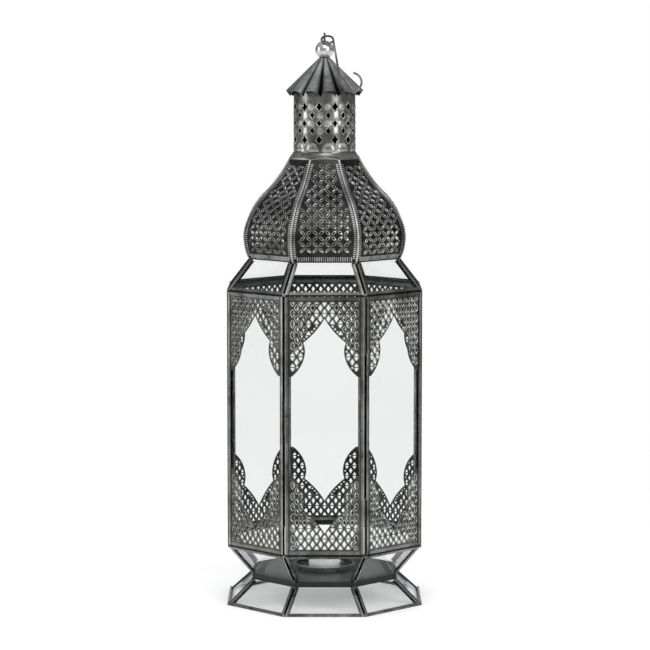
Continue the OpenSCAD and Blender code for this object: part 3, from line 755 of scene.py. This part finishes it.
def gore_sheet(shift, slide):
    """Leaves set on alternate diagonals make rings and flowers; strokes mark the margins.

    shift moves the pattern up and slide moves it across, by parts of a cell.
    """
    s_line = np.linspace(0, DOME_ARC, 40)
    half = section_at(s_line)[0] * HALF_TAN - 1.25
    outline = np.vstack([np.stack([half, s_line], 1), np.stack([-half, s_line], 1)[::-1]])
    sheet = Sheet(outline, 3.0)
    foot = PATTERN_FOOT + CELL_S * shift

    def half_at(s):
        return float(np.interp(s, s_line, half))

    rows = int((DOME_ARC - foot - 4) / CELL_S)
    for row in range(rows):
        s = foot + (row + 0.5) * CELL_S
        room = min(half_at(s - CELL_S / 2), half_at(s + CELL_S / 2)) - LEAF_MARGIN
        for k in range(-6, 6):
            u = (k + 0.5 + slide) * CELL_U
            if abs(u) + 2.2 > room:
                continue
            squeeze = min(1.0, (room - abs(u)) / (CELL_U / 2))
            tilt = math.copysign(1, (-1) ** (row + k)) * math.atan2(CELL_S, CELL_U)
            shape = leaf((u, s), tilt, LEAF[0] * max(squeeze, SHORTEST), LEAF[1])
            sheet.hole(shape, crest=0.55, crest_at=0.5, foot_at=0.95)
    for row in range(1, rows):
        s = foot + row * CELL_S
        for k in range(-5, 6):
            u = (k + slide) * CELL_U
            if (row + k) % 2 == 0 and abs(u) + 1.5 < half_at(s) - DOT_MARGIN:
                sheet.hole(disc((u, s), 0.8), crest=0.4, crest_at=0.35, foot_at=0.7)
    for k in range(int((DOME_ARC - 8) / TICK_PITCH)):
        s = 5 + k * TICK_PITCH
        edge = half_at(s)
        for hand in (-1, 1):
            sheet.boss(stroke((hand * (edge - 0.9), s), (hand * (edge - 3.7), s), TICK_W), 0.32)
    count = int(half_at(3) * 2 / TICK_PITCH) - 2
    for k in range(count):
        u = (k - (count - 1) / 2) * TICK_PITCH
        sheet.boss(stroke((u, 1.2), (u, 6.6), TICK_W), 0.4)
    return sheet


def build_dome():
    # facing gores have different patterns, so that few of their holes line up
    solids = [gore_sheet(shift, slide).solid(3.0, 0.6, on_dome) for slide in (0, 0.5) for shift in (0, 0.4)]
    for side in range(1, SIDES + 1):
        solid = solids[side % 2 + (2 if 4 <= side <= 7 else 0)]
        sheet_piece(f"pierced_gore_{side}", solid, side, "lantern", "dome_sheet", [f"dome_gore_{side}"], 0.65)
    # half round ribs over the joints
    arc = np.linspace(0.2, DOME_ARC - 0.2, 70)
    r, z, out_r, out_z = section_at(arc)
    a = np.linspace(0, math.pi, 9)
    across = np.concatenate([RIB_HALF * np.cos(a), [-1.1, 1.1]])
    out = np.concatenate([RIB_RISE * np.sin(a) + 0.1, [-0.5, -0.5]])
    wide = 1 / math.cos(TURN / 2)
    points = []
    for k in range(len(arc)):
        wobble = 0.06 * math.sin(0.9 * arc[k]) + 0.05 * math.sin(2.3 * arc[k])
        for x, n in zip(across, out):
            n += wobble if n > 0.2 else 0
            points.append([x, -(r[k] * wide + n * out_r[k]), z[k] + n * out_z[k]])
    faces = flipped(closed_rings(len(arc), len(across)))
    # each rib's crest brightens: rubbed wear and painted highlight
    lift = [0.75 if n > 0.6 else 0.1 for _ in arc for n in out]
    for side in range(1, SIDES + 1):
        placed = turned(np.array(points), side + 0.5)
        make(f"dome_rib_{side}", placed, faces, "lantern", "dome_trim", ["dome_ribs"], lift=lift)


# ---- Neck ----
def star_hole(centre, across, tall, count=5):
    """A four pointed hole with hollow sides, anticlockwise."""
    tips = [(across, 0), (0, tall), (-across, 0), (0, -tall)]
    out = []
    for k in range(4):
        a, b = np.array(tips[k], float), np.array(tips[(k + 1) % 4], float)
        out.extend(bezier([a, (a + b) * 0.38, b], count)[:-1])
    return np.array(out) + np.array(centre)


COLUMNS = 12
NECK_START = (0.66, 0.23)  # where the even and the odd rows start, in columns
NECK_ROWS = ((15.5, 1.25), (26.0, 1.0), (34.8, 1.0), (44.2, 1.0), (54.2, 1.25))  # height, hole size
STAR = (3.5, 4.4)
SCALE = (4.9, 4.3)
NECK_T = 0.8


def neck_sheet():
    """Five staggered rows of four pointed holes, with raised scales between them."""
    girth = 2 * math.pi * NECK_R
    height = NECK_TOP - NECK_Z
    outline = [(x, 0) for x in np.linspace(0, girth, 73)] + [(x, height) for x in np.linspace(girth, 0, 73)]
    sheet = Sheet(outline, 3.0)
    pitch = girth / COLUMNS
    for row, (z, size) in enumerate(NECK_ROWS):
        for k in range(COLUMNS):
            x = (k + NECK_START[row % 2]) * pitch
            star = star_hole((x, z), STAR[0] * size, STAR[1] * size)
            sheet.hole(star, crest=0.35, crest_at=0.4, foot_at=0.75)
    # a round scale is stamped between every two neighbours of a row
    for row, (z, size) in enumerate(NECK_ROWS[1:], 1):
        for k in range(COLUMNS):
            x = (k + NECK_START[row % 2] + 0.5) * pitch
            if 6 < x < girth - 6:
                for reach, lift in ((1, 0.05), (0.72, 0.24), (0.38, 0.34)):
                    shape = disc((0, 0), reach, 16) * [SCALE[0] / size**0.9, SCALE[1]]
                    sheet.loop(shape + [x, z], lift)
    # a row of arched scales stands along the foot, between the lowest holes
    side = bezier([(-8.4, 1.2), (-8.6, 7.5), (-4, 11.5), (0, 12)], 9)
    arch = np.vstack([side, (side * [-1, 1])[-2::-1]])[::-1]
    for k in range(COLUMNS):
        x = (k + NECK_START[1]) * pitch
        for scale, rise, lift in (([1, 1], 0, 0), ([0.88, 0.92], 0.5, 0.4), ([0.5, 0.55], 2.4, 0.3)):
            sheet.loop(arch * scale + [x, rise], lift)
    return sheet


def build_neck():
    def wrap(u, v, h):
        a = u / NECK_R - math.pi / 2 - math.pi
        r = NECK_R + h
        return np.stack([r * np.cos(a), r * np.sin(a), NECK_Z + v], 1)

    solid = neck_sheet().solid(2.6, NECK_T, wrap)
    sheet_piece("pierced_neck", solid, 1, "lantern", "neck_sheet", ["neck_tube"], 0.4)
    # a round flare, trimmed to the dome's eight sides at its foot
    flat_r, inner, count = NECK_R + 4.9, NECK_R - NECK_T, 192
    low_r = (NECK_R + 4.5) / math.cos(TURN / 2) + 0.9
    out = bezier([(low_r, COLLAR_Z), (low_r - 3.4, COLLAR_Z + 1.6), (NECK_R + 1.9, COLLAR_Z + 4.6),
                  (NECK_R + 0.9, COLLAR_TOP)], 14)
    profile = np.vstack([[(inner, COLLAR_Z), (low_r - 1, COLLAR_Z)], out, [(inner, COLLAR_TOP)]])
    points, faces = lathe(profile, count)
    angle = np.arctan2(points[:, 1], points[:, 0])
    off = (angle + TURN / 2) % TURN - TURN / 2
    radius = np.hypot(points[:, 0], points[:, 1])
    points[:, :2] *= (np.minimum(radius, flat_r / np.cos(off)) / radius)[:, None]
    # the flare is darker from its foot up towards the neck
    make("neck_flare", points, flipped(faces), "lantern", "neck_sheet", ["neck_collar"],
         sharp=50, patina_and_shade=np.tile(np.linspace(0.1, 0.5, len(profile)), count))


# ---- Cap ----
def build_cap():
    """Twelve flutes: broad rounded ridges, with sharp valleys whose tips hang lowest."""
    flutes, cuts, rings = 12, 12 * 20, 26
    rim_r, top_r = 46.0, 6.6
    # a valley hangs lower than the ridges by drop, and lies further in by pull
    low, drop, pull = CAP_TOP - CAP_H, 6.5, 4.5
    thickness = 0.6
    k = np.arange(cuts)
    valley = (1 - np.abs(np.cos(math.pi * flutes * k / cuts))) ** 1.5
    angle = 2 * math.pi * k / cuts - math.pi / 2 + math.radians(CAP_TURN)
    points, lift, patina_and_shade = [], [], []
    for inner in (0, 1):
        for ring in range(rings):
            u = ring / (rings - 1)
            v = valley * (1 - u)
            wave = 0.25 * np.sin(3 * angle + 5 * u) + 0.18 * np.sin(7 * angle - 3 * u)
            r = rim_r + (top_r - rim_r) * u - pull * v - inner * thickness + wave * (1 - u) * 0.7
            z = low + (CAP_TOP - low) * u - drop * v - inner * thickness
            points.append(np.stack([r * np.cos(angle), r * np.sin(angle), z + 0 * k], 1))
            # the ridges get a painted highlight that grows towards the top, and the valleys painted shade
            lift.append((0.8 * (1 - valley) ** 2 * (0.35 + 0.65 * u)) if not inner else 0 * k)
            patina_and_shade.append(np.minimum(1, 1.3 * valley**1.5))
    faces = ring_faces(rings, cuts)
    inner_first = rings * cuts
    faces += flipped(ring_faces(rings, cuts, first=inner_first))
    top, under = (rings - 1) * cuts, inner_first + (rings - 1) * cuts
    for j in range(cuts):
        n = (j + 1) % cuts
        faces.append((inner_first + j, inner_first + n, n, j))
        faces.append((top + j, top + n, under + n, under + j))
    make("fluted_cap", np.vstack(points), faces, "lantern", "cap_sheet", ["cap"], sharp=30,
         lift=np.concatenate(lift), patina_and_shade=np.concatenate(patina_and_shade))


# ---- Finial and hook ----
EYE_WIRE = 1.2
HOOK_WIRE = 1.25


def build_finial():
    """The ball, its seat and the wire eye. Gives the height of the eye's middle."""
    radius = (BALL_TOP - BALL_LOW) / 2
    centre = (BALL_TOP + BALL_LOW) / 2
    bore, cut = 1.25, 0.12  # the bore's radius, and the angle that it cuts off at both ends
    angles = np.linspace(cut - math.pi / 2, math.pi / 2 - cut, 40)
    ball = [(radius * math.cos(a), centre + radius * math.sin(a)) for a in angles]
    points, faces = lathe(np.array([(bore, BALL_LOW + 0.2), *ball, (bore, BALL_TOP - 0.05)]), 96)
    make("ball", points, flipped(faces), "lantern", "polished_ball", ["finial_ball"], sharp=60)
    seat = [(4.3, 0.99), (5.2, 1.0), (5.9, 0.93), (5.7, 0.86), (4.3, 0.86)]  # radius, drop in ball radii
    points, faces = lathe(np.array([(r, centre - radius * drop) for r, drop in seat]), 64)
    make("ball_seat", points, flipped(faces), "lantern", "cap_sheet", sharp=50)
    eye_low, eye_high = corner("finial_eye")
    eye_r = eye_high[1] - EYE_WIRE
    eye_z = eye_high[2] - EYE_WIRE - eye_r
    turns = np.linspace(0.12, 2 * math.pi - 0.05, 40)
    ring = [(0, eye_r * math.sin(a), eye_z - eye_r * math.cos(a)) for a in turns]
    shank = [(0, 0.3, z) for z in np.linspace(eye_low[2], eye_z - eye_r - 0.3, 6)]
    wire_piece("eye_wire", shank + ring, EYE_WIRE, "lantern", "wire", ["finial_eye"])
    return eye_z


def hook_path(eye_z):
    """The same line as the frame's hook, with more points."""
    loop_r, side, loop_open = 7, 3.4, 35
    tilt, lean = math.radians(37), math.radians(26)
    back = np.array([0, math.cos(tilt), math.sin(tilt)])
    loop_c = np.array([side, 0, eye_z]) - math.sqrt(loop_r**2 - side**2) * back
    bow_r = 12.5
    bow_up = np.array([0, math.sin(lean), math.cos(lean)])
    bow_c = np.array([31, -37, CAP_TOP - CAP_H + 10])
    x = np.array([1.0, 0, 0])

    def loop_at(degrees):
        a = math.radians(degrees)
        return loop_c + loop_r * (math.cos(a) * x + math.sin(a) * back)

    def bow_at(degrees):
        a = math.radians(degrees)
        return bow_c + bow_r * (math.cos(a) * x + math.sin(a) * bow_up)

    def shank_at(u):
        return first * (1 - u) + last * u

    first, last, start = loop_at(0), bow_at(180), loop_at(-5)
    shank_pull = [0, -5, -3]  # eases the loop's end into the straight shank
    path = [loop_at(a) for a in np.arange(360 - loop_open, 9, -7)]
    path += list(bezier([start, start + shank_pull, shank_at(0.3), shank_at(0.4)], 10))
    path += [shank_at(u) for u in np.arange(0.46, 0.93, 0.06)]
    path += [bow_at(a) for a in range(184, 437, 7)]
    return np.array(path)


def smoothed(path, rounds):
    """The path with its kinks averaged out; its ends stay."""
    path = path.copy()
    for _ in range(rounds):
        path[1:-1] = (path[:-2] + 2 * path[1:-1] + path[2:]) / 4
    return path


def build_hook(eye_z):
    wire_piece("hook_wire", smoothed(hook_path(eye_z), 3), HOOK_WIRE, "hook", "wire", ["hanging_hook"])


# ---- Tray and candle ----
def build_tray():
    """A plate with a turned down skirt; the skirt has darkened."""
    sheet_t, bend = 1, 0.4
    # radius, height, darkening, lift
    rows = [(0.01, TRAY_Z - sheet_t, 0, 1), (WAIST_R - sheet_t, TRAY_Z - sheet_t, 0, 1),
            (WAIST_R - sheet_t, TRAY_LOW, 1, 0), (WAIST_R, TRAY_LOW, 1, 0),
            (WAIST_R, TRAY_Z - bend, 0.95, 0), (WAIST_R - bend, TRAY_Z, 0.6, 0),
            (WAIST_R - 3, TRAY_Z, 0.1, 0), (0.01, TRAY_Z, 0, 0)]
    points, faces = lathe([(r / math.cos(TURN / 2), z) for r, z, _, _ in rows], SIDES)
    patina_and_shade, clean = (np.tile([row[k] for row in rows], SIDES) for k in (2, 3))
    make("tray", turned(points, 1.5), flipped(faces), "lantern", "tray_sheet", ["floor_tray"],
         sharp=20, lift=clean, patina_and_shade=patina_and_shade)


def rounds(rows, angle, ridge=0.0):
    """Rings of points at each row's [radius, height, share of the ridge]."""
    return np.vstack([
        np.stack([(r + share * ridge) * np.cos(angle), (r + share * ridge) * np.sin(angle), z + 0 * angle], 1)
        for r, z, share in rows
    ])


def build_dish():
    base, inner, bead = TRAY_Z, TRAY_Z + DISH_T, 0.75
    rim = disc((DISH_R - bead, DISH_TOP - bead), bead, 12)
    profile = np.vstack([
        [(0.01, base), (DISH_R - 4, base)],
        bezier([(DISH_R - 4, base), (DISH_R - 0.9, base), (DISH_R - 0.6, base + 3)], 8)[1:],
        [(DISH_R - 0.55, DISH_TOP - 1.4)],
        rim[[10, 11, 0, 1, 2, 3, 4, 5, 6, 7]],
        [(DISH_R - 1.2, DISH_TOP - 1.6)],
        bezier([(DISH_R - 1.3, base + 3.2), (DISH_R - 1.6, inner), (DISH_R - 4.4, inner)], 8),
        [(0.01, inner)],
    ])
    segments = 96
    points, faces = lathe(profile, segments)
    # the rim's bead gets a painted highlight; the rest of the saucer is darker
    on_rim = profile[:, 1] > DISH_TOP - 1.0
    make("candle_saucer", points, flipped(faces), "lantern", "dish_sheet", ["candle_dish"],
         lift=np.tile(np.where(on_rim, 0.9, 0), segments), patina_and_shade=np.tile(np.where(on_rim, 0, 0.55), segments))


def build_candle():
    r, low, high = TEALIGHT_R, TEALIGHT_LOW, TEALIGHT_TOP
    foil_t, wax_h, flutes = 0.4, 12, 36
    count = flutes * 4
    angle = np.linspace(0, 2 * math.pi, count, endpoint=False)
    ridge = 0.16 * np.cos(flutes * angle)
    # outside from the foot up, over the lip and down inside
    rows = [(r - 1.2, low, 0), (r - 0.35, low + foil_t, 0.4), (r - 0.2, low + 1.5, 1),
            (r - 0.2, high - 1.5, 1), (r - 0.2, high - 0.6, 0.2), (r, high, 0), (r - 0.5, high + 0.05, 0),
            (r - 0.7, high - 0.8, 0.1), (r - 0.6, low + 1.5, 1), (r - 1.5, low + foil_t, 0)]
    points = rounds(rows, angle, ridge)
    make("foil_cup", points, closed_rings(len(rows), count), "tealight", "tealight_cup", ["tealight_cup"])
    # the wax dips towards the wick and climbs a little where it meets it
    top = low + foil_t + wax_h
    rows = [(r - 0.95, low + 1.0, 0), (r - 0.95, top - 0.5, 0), (r - 1.6, top, 0), (12, top - 0.35, 0),
            (5, top - 0.5, 0), (1.8, top - 0.2, 0), (0.9, top + 0.3, 0)]
    points = rounds(rows, angle)
    make("wax_fill", points, closed_rings(len(rows), count), "tealight", "wax", ["tealight_wax"])
    wick_r = 0.62
    wick = [(0.25 * math.sin(k * 0.5), 0, top - 2 + k) for k in range(10)]
    points, faces = tube(wick, [wick_r] * len(wick), 10)
    make("wick", points, faces, "tealight", "wax", material=wick_cotton())


# ---- Solder ----
def build_solder():
    """Beads run down the fixed corners, and lumps sit where tiers meet."""
    root_r = (CAGE_R - CAME_T) / math.cos(TURN / 2) + 0.75
    z = np.linspace(CAGE_Z + 0.6, RING2_Z - 0.6, 90)
    for side in range(2, SIDES):
        swell = np.interp(z, z[::3], 0.75 + 0.14 * rng.random(30))
        swell[[0, -1]] *= 0.4
        points, faces = tube(np.stack([0 * z, 0 * z - root_r, z], 1), swell, 10)
        make(f"solder_bead_{side}", turned(points, side + 0.5), faces, "lantern", "solder",
             ["solder_seams"], sharp=60, material=MATERIALS["patina"])
    # centre to flat, height, size
    levels = [(FOOT_R - 1.2, 2.2, 1.5), (WAIST_R + 0.2, TRAY_LOW - 0.2, 1.6),
              (WAIST_R + 0.2, TRAY_Z + 0.5, 1.5), (CAGE_R - 1.1, CAGE_Z - 1.4, 1.8),
              (CAGE_R - 1.1, RING2_Z + 1.4, 1.9), (SHOULDER_R - 0.4, SHOULDER_TOP - 0.2, 1.7)]
    lumps, faces, count = [], [], 0
    for r, height, size in levels:
        for side in range(1, SIDES + 1):
            lump, quads = blob(size * (0.85 + 0.3 * rng.random()))
            lump = lump + [0, -r / math.cos(TURN / 2), height]
            lumps.append(turned(lump, side + 0.5))
            faces += [tuple(k + count for k in q) for q in quads]
            count += len(lump)
    make("solder_lumps", np.vstack(lumps), faces, "lantern", "solder", sharp=80)


def blob(size):
    """A small uneven drop."""
    rows, count, flat = 7, 12, 0.7
    points = [[0, 0, -size]]
    push = rng.random((rows, count)) * 0.22 + 0.85
    for r in range(rows):
        a = -math.pi / 2 + math.pi * (r + 1) / (rows + 1)
        for k in range(count):
            b = 2 * math.pi * k / count
            d = size * push[r][k]
            out = d * math.cos(a)
            points.append([out * math.cos(b), flat * out * math.sin(b), d * math.sin(a)])
    points.append([0, 0, size])
    faces = ring_faces(rows, count, first=1)
    faces += [(0, 1 + (k + 1) % count, 1 + k) for k in range(count)]
    last = 1 + (rows - 1) * count
    faces += [(last + k, last + (k + 1) % count, len(points) - 1) for k in range(count)]
    return np.array(points), faces


# ---- CAD nodes that stay ----
def dress_frame():
    """Materials, softened edges for the folded strip, and nothing moved."""
    slots = {part["node"]: part["material_slot"] for part in frame["record"]["subparts"]}
    for node, obj in frame["nodes"].items():
        obj.data.materials.clear()
        obj.data.materials.append(MATERIALS[slots[node]])
        if slots[node] in ("came", "tray_sheet", "wire") and node != "tier_rings":
            soft = obj.modifiers.new("soft_edges", "BEVEL")
            soft.width = 0.14 * MM
            soft.segments = 2
            soft.limit_method = "ANGLE"
            soft.angle_limit = math.radians(40)
            soft.harden_normals = True
    frame["nodes"]["tier_rings"].data.materials[0] = MATERIALS["patina"]


# ---- Stage ----
def softbox(name, place, target, width, height, power):
    light = bpy.data.lights.new(name, "AREA")
    light.shape = "RECTANGLE"
    light.size, light.size_y = width, height
    light.energy = power
    lamp = bpy.data.objects.new(name, light)
    lamp.location = place
    lamp.rotation_euler = (Vector(target) - Vector(place)).to_track_quat("-Z", "Y").to_euler()
    bpy.context.scene.collection.objects.link(lamp)


def studio_world():
    """White behind the lantern, an even light on the floor, and a dim room for metal to mirror."""
    world = bpy.data.worlds.new("studio")
    world.use_nodes = True
    tree = world.node_tree
    tree.nodes.clear()
    link = tree.links.new

    def node(kind):
        return tree.nodes.new("ShaderNode" + kind)

    height = node("SeparateXYZ")
    link(node("TexCoord").outputs["Generated"], height.inputs[0])
    turned_up = node("MapRange")
    turned_up.inputs["From Min"].default_value = -1
    link(height.outputs["Z"], turned_up.inputs["Value"])
    # both ramps run from straight down, at 0, over the horizon, at 0.5, to straight up
    room = node("ValToRGB")
    room.color_ramp.elements[0].position = 0.41
    room.color_ramp.elements[0].color = (0.95, 0.95, 0.95, 1)
    room.color_ramp.elements[1].color = (0.62, 0.63, 0.65, 1)
    for place, level in ((0.43, 0.13), (0.5, 0.13)):
        room.color_ramp.elements.new(place).color = (level, level, 1.06 * level, 1)
    link(turned_up.outputs["Result"], room.inputs[0])
    seen, even, mirrored = node("Background"), node("Background"), node("Background")
    seen.inputs["Strength"].default_value = 1.0
    seen.inputs["Color"].default_value = (1, 1, 1, 1)
    # brightest at the horizon, so that light reaches in under the tray
    sky = node("ValToRGB")
    link(turned_up.outputs["Result"], sky.inputs[0])
    sky.color_ramp.elements[0].position = 0.49
    sky.color_ramp.elements[0].color = (0.2, 0.2, 0.2, 1)
    sky.color_ramp.elements[1].color = (0.06, 0.06, 0.06, 1)
    for place, level in ((0.5, 1.0), (0.6, 0.42)):
        sky.color_ramp.elements.new(place).color = (level, level, level, 1)
    link(sky.outputs[0], even.inputs["Color"])
    even.inputs["Strength"].default_value = 5.0
    link(room.outputs[0], mirrored.inputs["Color"])
    path, inner, outer, out = node("LightPath"), node("MixShader"), node("MixShader"), node("OutputWorld")
    link(path.outputs["Is Glossy Ray"], inner.inputs[0])
    link(even.outputs[0], inner.inputs[1])
    link(mirrored.outputs[0], inner.inputs[2])
    link(path.outputs["Is Camera Ray"], outer.inputs[0])
    link(inner.outputs[0], outer.inputs[1])
    link(seen.outputs[0], outer.inputs[2])
    link(outer.outputs[0], out.inputs["Surface"])
    return world


def build_stage():
    scene = bpy.context.scene
    # its far edge stays hidden behind the lower panels
    radius, count = 0.64, 96
    ring = [2 * math.pi * k / count for k in range(count)]
    mesh = bpy.data.meshes.new("floor")
    mesh.from_pydata([(radius * math.cos(a), radius * math.sin(a), 0) for a in ring], [], [range(count)])
    mesh.materials.append(floor_paint())
    floor = bpy.data.objects.new("floor", mesh)
    scene.collection.objects.link(floor)
    scene.world = studio_world()

    middle = (0, 0, 0.35)
    # tall soft lights to the right and to the left, and a broad one from above
    softbox("key", (1.7, -1.9, 1.1), middle, 0.6, 1.5, 16)
    softbox("left", (-2.4, -0.5, 0.8), middle, 0.8, 1.8, 12)
    softbox("top", (0.2, -1.7, 2.3), middle, 1.6, 1.2, 16)

    lens = bpy.data.cameras.new("camera")
    lens.sensor_width = 36
    lens.lens = 152
    lens.shift_x, lens.shift_y = 0.0007, 0.011
    camera = bpy.data.objects.new("camera", lens)
    camera.location = (0, -3.262, 0.68)
    camera.rotation_euler = (math.radians(90 - 6.27), 0, 0)
    scene.collection.objects.link(camera)
    scene.camera = camera
    scene.view_settings.view_transform = "Standard"


dress_frame()
build_frets()
build_dome()
build_neck()
build_cap()
build_hook(build_finial())
build_tray()
build_dish()
build_candle()
build_solder()
build_stage()
